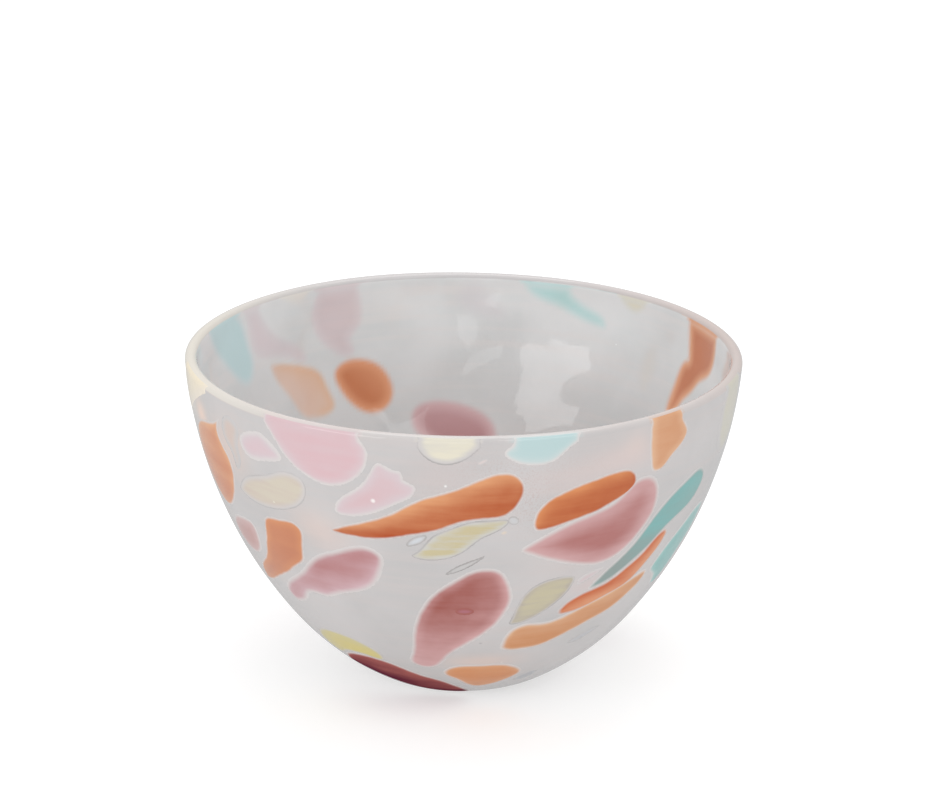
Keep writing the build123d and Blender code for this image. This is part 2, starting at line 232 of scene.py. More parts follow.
# For each kind of glass: colour by the edge, colour in the body of the piece, how many
# millimetres in from the edge that is reached, softness of the edge, pale rim, grey line,
# and how strongly it shows through the milky wall from the inside.
GLASS = {
    "orange_glass": ((222, 162, 122), (206, 134, 98), 4.0, 1.0, 0.5, 0.0, 0.95),
    "deep_orange_glass": ((216, 146, 102), (189, 108, 76), 4.5, 1.0, 0.5, 0.0, 0.95),
    "pale_orange_glass": ((218, 166, 130), (208, 178, 164), 4.5, 1.4, 0.4, 0.0, 0.9),
    "red_orange_glass": ((218, 150, 112), (200, 112, 74), 2.0, 0.9, 0.4, 0.0, 0.9),
    "rose_glass": ((210, 168, 172), (184, 130, 128), 5.5, 2.0, 0.5, 0.0, 0.75),
    "deep_rose_glass": ((208, 160, 164), (166, 98, 92), 5.5, 2.0, 0.5, 0.0, 0.75),
    "pink_glass": ((216, 198, 202), (218, 188, 193), 4.5, 1.4, 0.7, 0.0, 0.5),
    "maroon_glass": ((170, 112, 108), (104, 50, 56), 3.5, 1.6, 0.3, 0.0, 0.85),
    "turquoise_glass": ((166, 202, 198), (138, 182, 180), 3.5, 1.4, 0.4, 0.0, 0.7),
    "pale_turquoise_glass": ((204, 216, 216), (190, 212, 213), 3.0, 1.2, 0.7, 0.0, 0.7),
    "cream_glass": ((212, 208, 200), (220, 213, 194), 3.0, 1.8, 0.5, 0.45, 0.45),
    "yellow_glass": ((210, 206, 190), (216, 206, 158), 3.0, 1.6, 0.4, 0.5, 0.5),
    "olive_glass": ((194, 190, 180), (192, 184, 160), 3.0, 1.0, 0.2, 0.7, 0.3),
    "peach_glass": ((212, 198, 190), (218, 192, 178), 4.0, 2.6, 0.0, 0.0, 0.4),
    "clear_glass": ((204, 204, 205), (205, 205, 207), 2.0, 1.0, 0.0, 0.8, 0.08),
}

# Pieces that differ from their kind: any of edge, core, reach, soft, pale, line, show, streaks,
# fine (how fine the streaks are), most (how solid the colour gets), grow (millimetres of melted
# border), spread (more millimetres of border, and the heading it has them on), wide (millimetres
# by which it looks wider from the inside), gloss, and under (the milky colour around the piece,
# where that isn't the wall's own). By the share in shift, the colour runs across the piece along
# the heading in towards, rather than in from all its edges, and the body's colour fades by drift
# away from the heading in drift_to. Headings are in degrees, 0 to the right and 90 up, seen from
# outside.
OWN = {
    "orange_ribbon": dict(edge=(222, 160, 118), core=(180, 90, 58), reach=6.0, towards=-75,
                          shift=0.8, spread=(0.7, -70)),
    "orange_lozenge": dict(edge=(220, 148, 102), core=(181, 93, 63), reach=5.0, towards=-50,
                           shift=0.75, spread=(1.2, -50)),
    "orange_block": dict(edge=(216, 150, 110), core=(200, 134, 104), towards=-60, shift=0.3,
                         streaks=0.6, spread=(1.2, -110)),
    "orange_far_left": dict(edge=(226, 172, 134), core=(206, 140, 108), towards=-90, shift=0.5),
    "orange_rim_right": dict(edge=(226, 184, 152), core=(214, 160, 124), towards=0, shift=0.3),
    "orange_streak": dict(edge=(226, 184, 150), core=(208, 148, 106), towards=-90, shift=0.4,
                          soft=1.8, reach=3, grow=1.0),
    "orange_low_front": dict(edge=(224, 168, 126), core=(214, 140, 88), towards=-90, shift=0.5,
                             soft=1.6),
    "red_sliver": dict(edge=(224, 160, 122), core=(204, 112, 74), towards=110, shift=0.8, grow=1.9,
                       soft=1.5, pale=0.2, spread=(0.8, -70)),
    "rose_leaf": dict(edge=(208, 168, 168), core=(180, 123, 120), reach=9.0, streaks=0.7, grow=1.2,
                      drift_to=-100, drift=0.35),
    "rose_kidney": dict(edge=(212, 182, 188), core=(182, 128, 128), reach=5.0, towards=80,
                        shift=0.65, soft=2.4, streaks=0.6, drift_to=40, drift=0.4),
    "rose_centre": dict(edge=(213, 170, 170), core=(158, 90, 82), reach=5.0, towards=150, shift=0.5,
                        soft=1.8, streaks=0.6, drift_to=75, drift=0.8),
    "rose_far_left": dict(edge=(206, 176, 174), core=(196, 158, 154), soft=1.4),
    "pink_rim_left": dict(edge=(217, 198, 202), core=(219, 187, 192), streaks=1.5, drift_to=-70,
                          drift=0.4),
    "pink_small": dict(edge=(214, 202, 206), core=(218, 196, 201), soft=2.2),
    "pink_shard": dict(edge=(215, 200, 204), core=(217, 189, 193), drift_to=-140, drift=0.5),
    "cream_left": dict(edge=(208, 193, 180), core=(213, 203, 185), line=0.35, pale=0.3, soft=2.6,
                       streaks=2.8, fine=2.0, most=0.85, drift_to=0, drift=0.6),
    "cream_rim_front": dict(edge=(212, 209, 203), core=(231, 225, 205), line=0.6, streaks=2.2,
                            fine=2.0, pale=0.2, reach=3.0, soft=2.4, most=0.9, drift_to=0,
                            drift=0.3),
    "yellow_leaf": dict(edge=(205, 203, 195), core=(203, 192, 158), line=0.7, pale=0.1, streaks=3.4,
                        fine=2.4, soft=0.8),
    "yellow_rim_right": dict(edge=(206, 206, 200), core=(212, 208, 186), soft=4.0, line=0.0,
                             pale=0.0, most=0.6),
    "cream_rim_left": dict(edge=(232, 222, 208), core=(242, 230, 206), soft=4.0, line=0.0, pale=0.0,
                           most=0.8, under=(238, 228, 212)),
    "olive_lens": dict(edge=(188, 180, 168), core=(200, 192, 166), streaks=2.0, fine=2.4,
                       drift_to=80, drift=0.5, grow=0.8, line=0.6),
    "peach_left": dict(most=0.6),
    "yellow_low_left": dict(edge=(206, 198, 160), core=(218, 202, 122), line=0.15, pale=0.1,
                            towards=-90, shift=0.6, grow=1.2),
    "turquoise_sweep": dict(edge=(149, 163, 160), core=(131, 182, 180), towards=150, shift=0.3,
                            grow=1.0, reach=2.0, soft=1.6, pale=0.4, drift_to=60, drift=0.9),
    "turquoise_far_right": dict(edge=(168, 204, 201), core=(140, 188, 185)),
    "maroon_low_left": dict(edge=(178, 114, 108), core=(108, 64, 76), towards=-90, shift=0.75,
                            reach=3.0, gloss=0.0, grow=1.5, spread=(1.8, -90)),
    "maroon_back": dict(show=0.95, drift_to=-90, drift=0.4),
    "pink_back_low": dict(show=0.0),
    "cream_rim_back": dict(show=0.85),
    "rose_left_side": dict(show=0.1),
    "orange_oval_back": dict(drift_to=-40, drift=0.7),
    "pale_orange_back": dict(towards=0, shift=0.8, soft=1.8),
    "pale_turquoise_back": dict(show=0.85, soft=3.0, wide=2.0),
    "clear_sliver_low": dict(edge=(198, 198, 201), core=(192, 192, 196), line=0.6),
    "clear_spot_low": dict(edge=(190, 191, 194), core=(182, 183, 187), line=0.3),
    "clear_sliver_middle": dict(edge=(200, 198, 197), core=(194, 192, 191), line=0.8),
    "clear_splinter": dict(edge=(204, 206, 210), core=(214, 219, 224), line=0.8),
    "pink_smoke_back": dict(soft=2.5, show=0.35),
    "pink_wisp": dict(edge=(212, 198, 200), core=(214, 184, 190), pale=0.3),
}

# How each piece shows from the inside of the bowl, where that differs from its outer colours.
THROUGH = {
    "orange_rim_back": ((208, 154, 120), (184, 116, 84)),
    "orange_oval_back": ((204, 142, 106), (182, 112, 76)),
    "pale_orange_back": ((206, 168, 140), (203, 181, 171)),
    "maroon_back": ((190, 158, 160), (168, 126, 128)),
    "pink_rim_back": ((198, 178, 182), (191, 163, 167)),
    "pink_sickle_back": ((198, 186, 190), (198, 178, 184)),
    "pink_smoke_back": ((196, 194, 196), (192, 184, 188)),
    "pale_turquoise_back": ((188, 202, 205), (176, 201, 204)),
    "turquoise_rim_back": ((174, 203, 203), (148, 196, 195)),
    "cream_rim_back_left": ((214, 208, 198), (218, 210, 194)),
    "cream_rim_back": ((202, 200, 188), (206, 200, 178)),
    "peach_back": ((196, 193, 190), (198, 192, 184)),
}

SLOTS = {part["node"]: part["material_slot"] for part in frame["record"]["subparts"]}


def base_look(kind):
    names = ("edge", "core", "reach", "soft", "pale", "line", "show")
    out = dict(zip(names, GLASS[kind]))
    out.update(towards=0, shift=0.0, drift_to=0, drift=0.0, streaks=1.0, fine=1.0, most=1.0)
    out.update(grow=GROW, spread=(0.0, 0.0), wide=0.0, gloss=0.5, under=None, kind=kind)
    return out


def finish_of(node):
    return {**base_look(SLOTS[node]), **OWN.get(node, {})}


# ---------------------------------------------------------------- outlines of the coloured pieces

def merged_mesh(node):
    """A CAD piece's points in millimetres, each kept once, and its triangles."""
    mesh = frame["nodes"][node].data
    mesh.calc_loop_triangles()
    co = np.empty(len(mesh.vertices) * 3)
    mesh.vertices.foreach_get("co", co)
    co = co.reshape(-1, 3) / MM
    tris = np.empty(len(mesh.loop_triangles) * 3, int)
    mesh.loop_triangles.foreach_get("vertices", tris)
    key = np.round(co / MERGE).astype(int)
    _, first, merged = np.unique(key, axis=0, return_index=True, return_inverse=True)
    return co[first], merged.reshape(-1)[tris.reshape(-1, 3)]


def longest_loop(tris):
    """The points of the longest edge that runs around these triangles, in order."""
    sides = dict.fromkeys(side for a, b, c in tris for side in ((a, b), (b, c), (c, a)))
    after = {a: b for a, b in sides if (b, a) not in sides}
    best = []
    while after:
        start, point = next(iter(after.items()))
        del after[start]
        loop = [start]
        while point != start and point in after:
            loop.append(point)
            point = after.pop(point)
        if len(loop) > len(best):
            best = loop
    return best


def outline_of(node):
    """The edge of a coloured piece's outer face: the azimuth of its middle, and for each point the
    turn from there in radians and the distance down the face in millimetres."""
    co, tris = merged_mesh(node)
    d, proud = outer_distance(np.hypot(co[:, 0], co[:, 1]), co[:, 2])
    az = np.arctan2(co[:, 0], -co[:, 1])
    lean = along(OUTER, np.maximum(d, 0))[2]
    out = np.stack([np.cos(lean) * np.sin(az), -np.cos(lean) * np.cos(az), -np.sin(lean)], 1)
    normal = np.cross(co[tris[:, 1]] - co[tris[:, 0]], co[tris[:, 2]] - co[tris[:, 0]])
    normal /= np.linalg.norm(normal, axis=1, keepdims=True) + 1e-12
    outward = (normal * out[tris[:, 0]]).sum(1) > 0.5
    edge = longest_loop(tris[outward & (proud[tris].min(1) > CHIP_PROUD / 2)])
    middle = co[edge].mean(0)
    centre = math.atan2(middle[0], -middle[1])
    turn = (az[edge] - centre + math.pi) % (2 * math.pi) - math.pi
    return centre, turn, d[edge]


def oval(azimuth, height, wide, tall, tilt=0.0):
    """The outline of a small oval on the outer face, as outline_of gives it."""
    turns = np.linspace(0, 2 * math.pi, 40, endpoint=False)
    u, v = wide * np.cos(turns), tall * np.sin(turns)
    u, v = u * math.cos(tilt) - v * math.sin(tilt), u * math.sin(tilt) + v * math.cos(tilt)
    levels = np.linspace(0, OUTER_LENGTH, 2000)
    d = np.interp(-height, -along(OUTER, levels)[1], levels) - v
    return math.radians(azimuth), u / along(OUTER, d)[0], d


class Patch:
    """A coloured piece's outline laid flat: u runs across and v up, in millimetres, seen from outside."""

    def __init__(self, name, outline, look, raised=0.0):
        self.name, self.look, self.raised = name, look, raised
        self.centre, turn, d = outline
        self.middle = (d.min() + d.max()) / 2
        points = np.stack(self.flat(turn, d), 1)
        if area(points) < 0:
            points = points[::-1]
        self.points = rounded(resample(points, OUTLINE_STEP))
        self.low, self.high = self.points.min(0), self.points.max(0)

    def flat(self, turn, d):
        r = along(OUTER, d)[0]
        return turn * r, self.middle - np.asarray(d)

    def bent(self, points):
        """Azimuth and distance of flat points."""
        d = self.middle - points[:, 1]
        return self.centre + points[:, 0] / along(OUTER, d)[0], d

    def lip(self):
        """Which points of the outline lie along the lip."""
        return along(OUTER, self.middle - self.points[:, 1])[1] > LIP_LINE - LIP_SLACK

    def shade(self, points, edge):
        """From 0, the colour by the edge, to 1, the colour in the body of the piece."""
        look = self.look
        depth = np.clip((edge - 0.5) / look["reach"], 0, 1)
        depth = depth * depth * (3 - 2 * depth)
        tone = depth
        if look["shift"]:
            ahead = np.roll(self.points, -1, 0) - np.roll(self.points, 1, 0)
            facing = np.stack([ahead[:, 1], -ahead[:, 0]], 1) @ heading(look["towards"])
            facing = facing / (np.linalg.norm(ahead, axis=1) + 1e-12)
            dark = to_line(points, self.points, facing > 0.15)
            light = to_line(points, self.points, facing < -0.15)
            across = np.clip(light / (light + dark + 1e-6), 0, 1)
            tone = depth * (1 - look["shift"]) + across * look["shift"]
        centre, half = (self.low + self.high) / 2, np.maximum((self.high - self.low) / 2, 1)
        run = np.clip(0.85 + (((points - centre) / half) @ heading(look["drift_to"])), 0, 1)
        return np.clip(tone * (1 - look["drift"] * (1 - run)), 0, 1)


def heading(degrees):
    return np.array([math.cos(math.radians(degrees)), math.sin(math.radians(degrees))])


def area(p):
    q = np.roll(p, -1, 0)
    return 0.5 * float((p[:, 0] * q[:, 1] - q[:, 0] * p[:, 1]).sum())


def resample(p, step):
    """Points of a closed outline at even steps."""
    closed = np.vstack([p, p[:1]])
    run = np.concatenate([[0], np.cumsum(np.linalg.norm(np.diff(closed, axis=0), axis=1))])
    at = np.linspace(0, run[-1], max(FEWEST_POINTS, int(run[-1] / step)), endpoint=False)
    return np.stack([np.interp(at, run, closed[:, 0]), np.interp(at, run, closed[:, 1])], 1)


def rounded(p):
    """The outline with its corners melted a little."""
    for _ in range(3):
        p = 0.25 * np.roll(p, 1, 0) + 0.5 * p + 0.25 * np.roll(p, -1, 0)
    return p


def to_line(points, line, keep=None):
    """Distance from each point to a closed outline, or to those of its segments that keep marks."""
    a, b = line, np.roll(line, -1, 0)
    if keep is not None:
        a, b = a[keep], b[keep]
    out = np.empty(len(points))
    for i in range(0, len(points), BATCH):
        p = points[i:i + BATCH, None]
        ab = (b - a)[None]
        t = np.clip(((p - a) * ab).sum(2) / np.maximum((ab * ab).sum(2), 1e-12), 0, 1)
        out[i:i + BATCH] = np.sqrt((((a + ab * t[..., None]) - p) ** 2).sum(2).min(1))
    return out


def inside(points, line):
    a, b = line, np.roll(line, -1, 0)
    x, y = points[:, 0, None], points[:, 1, None]
    over = (a[:, 1] > y) != (b[:, 1] > y)
    span = np.where(np.abs(b[:, 1] - a[:, 1]) < 1e-12, 1e-12, b[:, 1] - a[:, 1])
    return ((over & (x < (b[:, 0] - a[:, 0]) * (y - a[:, 1]) / span + a[:, 0])).sum(1) % 2) == 1


# ---------------------------------------------------------------- materials

MILK_DARK = (197, 195, 195)
MILK_LIGHT = (206, 203, 203)
MILK_PINK = (208, 200, 198)
SEED = (232, 230, 230)
POWDER_GRAIN = (192, 172, 168)
GROUND_GLASS = (214, 212, 210)
PALE_BORDER = (224, 219, 217)
GREY_LINE = (158, 155, 153)

# Painted light: how much lighter the milky glass is painted inside the bowl, in place of the light
# that comes through the wall. The share of that is given at distances down the inner face, so the
# painted light fades deeper in the bowl, and it grows from nothing over the last degrees of the lip.
INNER_PAINTED_LIGHT = (1.395, 1.47, 1.48)
GAIN_DOWN, GAIN_SHARE = (12, 37, 62), (1.0, 0.6, 0.35)
GAIN_FROM, GAIN_OVER = 140, 40

SEED_CELLS = 75  # cells to the metre, of which some have a seed bubble
BUMP, BUMP_DEPTH = 0.25, 0.0006


class Shader:
    """A material's node tree, with short calls for the nodes used here."""

    def __init__(self, name):
        self.material = bpy.data.materials.new(name)
        self.material.use_nodes = True
        self.tree = self.material.node_tree
        self.tree.nodes.clear()
        self.place = None

    def node(self, kind, inputs=(), **settings):
        n = self.tree.nodes.new(kind)
        for key, value in settings.items():
            setattr(n, key, value)
        for key, value in dict(inputs).items():
            if isinstance(value, bpy.types.NodeSocket):
                self.tree.links.new(value, n.inputs[key])
            else:
                n.inputs[key].default_value = value
        return n

    def attribute(self, name, output="Fac"):
        return self.node("ShaderNodeAttribute", attribute_name=name).outputs[output]

    def coordinates(self, scale):
        if self.place is None:
            self.place = self.node("ShaderNodeTexCoord").outputs["Object"]
        return self.node("ShaderNodeMapping", {"Vector": self.place, "Scale": scale}).outputs[0]

    def noise(self, scale, detail=2.0, roughness=0.5, stretch=(1, 1, 1)):
        """Noise of so many cells to the metre, squeezed along each axis by stretch."""
        settings = {"Vector": self.coordinates([scale * s for s in stretch]), "Scale": 1.0,
                    "Detail": detail, "Roughness": roughness, "Distortion": 0.0}
        return self.node("ShaderNodeTexNoise", settings).outputs["Fac"]

    def math(self, operation, a, b=0.0, clamp=False):
        return self.node("ShaderNodeMath", {0: a, 1: b}, operation=operation, use_clamp=clamp).outputs[0]

    def ramp(self, value, low, high, to_low=0.0, to_high=1.0):
        """A smooth step from one value to another, as the first value goes from low to high."""
        settings = {"Value": value, "From Min": low, "From Max": high,
                    "To Min": to_low, "To Max": to_high}
        return self.node("ShaderNodeMapRange", settings, interpolation_type="SMOOTHSTEP").outputs[0]

    def mix(self, factor, a, b):
        def four(c):
            return (*c, 1.0) if isinstance(c, tuple) and len(c) == 3 else c
        # Sockets 6 and 7 are the two colours, and output 2 is their mix.
        settings = {"Factor": factor, 6: four(a), 7: four(b)}
        return self.node("ShaderNodeMix", settings, data_type="RGBA").outputs[2]

    def milky(self):
        """The milky body: cloudy, drawn out in faint level streaks, with a few seed bubbles."""
        cloud = self.ramp(self.noise(34, 3), 0.3, 0.7)
        colour = self.mix(cloud, seen(MILK_DARK), seen(MILK_LIGHT))
        streak = self.ramp(self.noise(15, 3, 0.6, (1, 1, 22)), 0.4, 0.75, 0.0, 0.5)
        colour = self.mix(streak, colour, seen(MILK_PINK))
        place = {"Vector": self.coordinates([SEED_CELLS] * 3), "Scale": 1.0}
        cells = self.node("ShaderNodeTexVoronoi", place)
        chance = self.node("ShaderNodeSeparateColor", {"Color": cells.outputs["Color"]}).outputs[0]
        some = self.ramp(chance, 0.72, 0.74)
        dot = self.ramp(cells.outputs["Distance"], 0.022, 0.04, 1.0, 0.0)
        dot = self.math("MULTIPLY", dot, some)
        return self.mix(self.math("MULTIPLY", dot, 0.7), colour, seen(SEED))

    def finish(self, colour, roughness, extra=None, gloss=0.5):
        """Glossy glass over that colour, with the fine unevenness of a fire-polished surface."""
        fine = self.math("MULTIPLY", self.noise(210, 2), 0.10)
        ripple = self.math("ADD", self.noise(55, 2), fine)
        if extra is not None:
            ripple = self.math("ADD", ripple, extra)
        settings = {"Height": ripple, "Strength": BUMP, "Distance": BUMP_DEPTH}
        normal = self.node("ShaderNodeBump", settings).outputs[0]
        return self.principled({"Base Color": colour, "Roughness": roughness, "IOR": 1.5,
                                "Specular IOR Level": gloss, "Normal": normal})

    def principled(self, inputs):
        """Ends the tree in a Principled shader with those inputs."""
        shader = self.node("ShaderNodeBsdfPrincipled", inputs)
        out = self.node("ShaderNodeOutputMaterial")
        self.tree.links.new(shader.outputs[0], out.inputs[0])
        return self.material


def wall_material():
    """Milky glass, with what the wall's attributes say: powder, tint, ground glass, and inside, painted
    light that lightens the inner face.
    """
    s = Shader("milky_glass")
    colour = s.milky()
    gain = {0: colour, 1: INNER_PAINTED_LIGHT}
    painted_inner_light = s.node("ShaderNodeVectorMath", gain, operation="MULTIPLY").outputs[0]
    # Painted light: by the within share, the inner face is painted lighter for the light that comes
    # through the wall.
    colour = s.mix(s.attribute("within"), colour, painted_inner_light)
    grain = s.ramp(s.noise(1900, 2, 0.6), 0.46, 0.68)
    grain = s.math("MULTIPLY", grain, s.attribute("powder"))
    colour = s.mix(grain, colour, seen(POWDER_GRAIN))
    # Besides colours seen through the wall and hazes, the tint carries the lip's painted highlight and
    # painted glow.
    colour = s.mix(s.attribute("tint", "Alpha"), colour, s.attribute("tint", "Color"))
    ground = s.attribute("ground")
    colour = s.mix(s.math("MULTIPLY", ground, 0.5), colour, seen(GROUND_GLASS))
    scratch = s.math("MULTIPLY", s.noise(900, 2, 0.6), s.math("MULTIPLY", ground, 0.5))
    polished = s.ramp(s.noise(90, 2), 0.3, 0.7, 0.03, 0.07)
    rough = s.math("ADD", s.math("MULTIPLY", ground, 0.42), polished)
    return s.finish(colour, rough, scratch)


def chip_material(node, look):
    """A coloured piece. Its edge attribute is millimetres in from the border, and its core
    attribute runs from the colour by the edge to the colour in the body."""
    s = Shader(node)
    milk = s.milky() if look["under"] is None else seen(look["under"])
    uneven = s.math("SUBTRACT", s.noise(260, 2), 0.5)
    edge = s.math("ADD", s.attribute("edge"), s.math("MULTIPLY", uneven, 0.5))
    streak = s.math("SUBTRACT", s.noise(26 * look["fine"], 3, 0.55, (1, 1, 9)), 0.5)
    streak = s.math("MULTIPLY", streak, 0.9 * look["streaks"])
    mottle = s.math("MULTIPLY", s.math("SUBTRACT", s.noise(120, 3), 0.5), 0.35)
    core = s.math("ADD", s.attribute("core"), s.math("ADD", streak, mottle), clamp=True)
    tint = s.mix(core, seen(look["edge"]), seen(look["core"]))
    pale = s.math("MULTIPLY", s.ramp(edge, 0.1, 0.45), look["pale"])
    colour = s.mix(pale, milk, seen(PALE_BORDER))
    cover = s.math("MULTIPLY", s.ramp(edge, 0.4, 0.6 + look["soft"]), look["most"])
    colour = s.mix(cover, colour, tint)
    if look["line"]:
        broken = s.ramp(s.noise(70, 2), 0.35, 0.6, 0.35, 1.0)
        line = s.math("MULTIPLY", s.ramp(edge, 0.1, 0.35), s.ramp(edge, 0.5, 1.1, 1.0, 0.0))
        line = s.math("MULTIPLY", s.math("MULTIPLY", line, broken), look["line"])
        colour = s.mix(line, colour, seen(GREY_LINE))
    rough = s.ramp(s.noise(110, 2), 0.3, 0.7, 0.05, 0.10)
    return s.finish(colour, rough, gloss=look["gloss"])


# ---------------------------------------------------------------- meshes

def add_piece(name, vertices, faces, material, slot, *nodes):
    mesh = bpy.data.meshes.new(name)
    mesh.from_pydata([tuple(v) for v in vertices], [], faces)
    mesh.validate()
    mesh.update()
    mesh.polygons.foreach_set("use_smooth", [True] * len(mesh.polygons))
    mesh.materials.append(material)
    piece = bpy.data.objects.new(name, mesh)
    bpy.context.scene.collection.objects.link(piece)
    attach(piece, "root")
    if nodes:
        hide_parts(*nodes)
    return piece


def give(piece, name, values):
    """A number or an RGBA colour on each vertex."""
    kind = "FLOAT" if np.ndim(values) == 1 else "FLOAT_COLOR"
    made = piece.data.attributes.new(name, kind, "POINT")
    made.data.foreach_set("value" if kind == "FLOAT" else "color", np.asarray(values, np.float32).ravel())


def chip_height(edge, rise):
    """How far a melted piece stands proud of the wall, from its border inwards."""
    t = np.clip(edge / RAMP, 0, 1)
    return -BORDER_SINK + rise * np.sqrt(t * (2 - t))


def grown_outline(patch):
    """The piece's outline with its melted border, and which of its points lie along the lip."""
    line, look = patch.points, patch.look
    lip = patch.lip()
    ahead = np.roll(line, -1, 0) - np.roll(line, 1, 0)
    ahead /= np.linalg.norm(ahead, axis=1, keepdims=True) + 1e-12
    out = np.stack([ahead[:, 1], -ahead[:, 0]], 1)
    extra, towards = look["spread"]
    border = look["grow"] + extra * np.clip(out @ heading(towards), 0, 1)
    grown = line + out * border[:, None]
    grown[lip, 1] += OVER_LIP_FRONT if math.cos(patch.centre) > 0 else OVER_LIP_BACK
    # Points that a sharp inward corner has pushed over the outline are left out.
    keep = to_line(grown, line) > look["grow"] - 0.03
    if keep.sum() < FEWEST_POINTS:
        return line, lip
    return grown[keep], lip[keep]


def lens_grid(patch, grown):
    """Points for the middle of a lens: staggered rows within its outline, clear of its border."""
    step = GRID_STEP if min(patch.high - patch.low) > SMALL_PIECE else FINE_GRID_STEP
    xs = np.arange(grown[:, 0].min(), grown[:, 0].max(), step)
    ys = np.arange(grown[:, 1].min(), grown[:, 1].max(), step * ROW_SPACING)
    grid = np.array([(x + (step / 2 if j % 2 else 0), y) for j, y in enumerate(ys) for x in xs])
    grid = grid[inside(grid, grown)]
    return grid[to_line(grid, grown) > GRID_MARGIN] if len(grid) else grid.reshape(0, 2)


def lens_faces(flat, tris, border):
    """A lens's faces on both sides. Its underside has points of its own within the border."""
    inner = np.flatnonzero(~border)
    below = np.arange(len(flat))
    below[inner] = len(flat) + np.arange(len(inner))
    faces = []
    for a, b, c in tris:
        if area(flat[[a, b, c]]) < 0:
            b, c = c, b
        faces.append((a, b, c))
        if not (border[a] and border[b] and border[c]):
            faces.append((below[a], below[c], below[b]))
    return [tuple(int(i) for i in face) for face in faces]


def make_chip(patch):
    """A lens of glass, domed above the wall and sunk below it, that stands for a coloured piece."""
    grown, on_lip = grown_outline(patch)
    count = len(grown)
    points = [Vector(p) for p in np.vstack([grown, lens_grid(patch, grown)])]
    sides = [(i, (i + 1) % count) for i in range(count)]
    verts, _, tris, _, _, _ = delaunay_2d_cdt(points, sides, [], 1, 1e-5)
    flat = np.array([tuple(v) for v in verts])
    every = to_line(flat, grown)
    # The colours run out at every edge but the one along the lip.
    off_lip = ~(on_lip & np.roll(on_lip, -1))
    edge = to_line(flat, grown, off_lip) if off_lip.any() else every
    core = patch.shade(flat, edge)
    az, d = patch.bent(flat)
    r, z, lean = along(OUTER, d)
    ripples = outer_wave(az, np.maximum(d, 0))
    rise = NODE_RISE if patch.name in SLOTS else BIT_RISE
    top = lift(az, r, z, lean, ripples + chip_height(every, rise) + patch.raised)
    sunk = BORDER_SINK + CHIP_DEPTH * np.clip(every / DEPTH_RAMP, 0, 1) ** 0.6
    under = lift(az, r, z, lean, ripples - sunk)
    border = every < 1e-4
    inner = ~border
    vertices = np.vstack([top, under[inner]])
    material = chip_material(patch.name, patch.look)
    stands_for = [patch.name] if patch.name in SLOTS else []
    piece = add_piece(patch.name + "_glass", vertices, lens_faces(flat, tris, border), material,
                      patch.look["kind"], *stands_for)
    give(piece, "edge", np.concatenate([edge, edge[inner]]))
    give(piece, "core", np.concatenate([core, core[inner]]))


def pontil_height(r):
    """The underside's height at a radius: a shallow ground dome, then the flat foot."""
    dome = (PONTIL_RADIUS ** 2 + PONTIL_DEPTH ** 2) / (2 * PONTIL_DEPTH)
    if r >= PONTIL_RADIUS:
        return 0.0
    return max(math.sqrt(dome ** 2 - r * r) - (dome - PONTIL_DEPTH), 0.0)


def wall_rows():
    """The wall's rings from under the foot, up, over the lip and down to the floor: what face
    each is on, and its radius, height, lean and distance (round the lip, an angle in degrees)."""
    rows = []
    for r in FOOT_RINGS:
        rows.append(("foot", float(r), pontil_height(r), math.pi / 2, 0.0))
    by_foot = np.linspace(OUTER_LENGTH, OUTER_LENGTH - FOOT_BEND, BEND_RINGS)[:-1]
    side = np.linspace(OUTER_LENGTH - FOOT_BEND, 0, SIDE_RINGS)
    for d in np.concatenate([by_foot, side]):
        rows.append(("outer", *(float(v) for v in along(OUTER, d)), float(d)))
    for angle in np.linspace(0, 180, LIP_RINGS)[1:-1]:
        turn = LEAN - math.radians(angle)
        r = LIP_CENTRE[0] + LIP_RADIUS * math.cos(turn)
        z = LIP_CENTRE[1] - LIP_RADIUS * math.sin(turn)
        rows.append(("lip", r, z, turn, angle))
    for d in np.linspace(0, INNER_LENGTH - FLOOR_GAP, INNER_RINGS):
        rows.append(("inner", *(float(v) for v in along(INNER, d)), float(d)))
    kinds = np.array([row[0] for row in rows])
    return kinds, *(np.array([row[i] for row in rows])[:, None] for i in (1, 2, 3, 4))


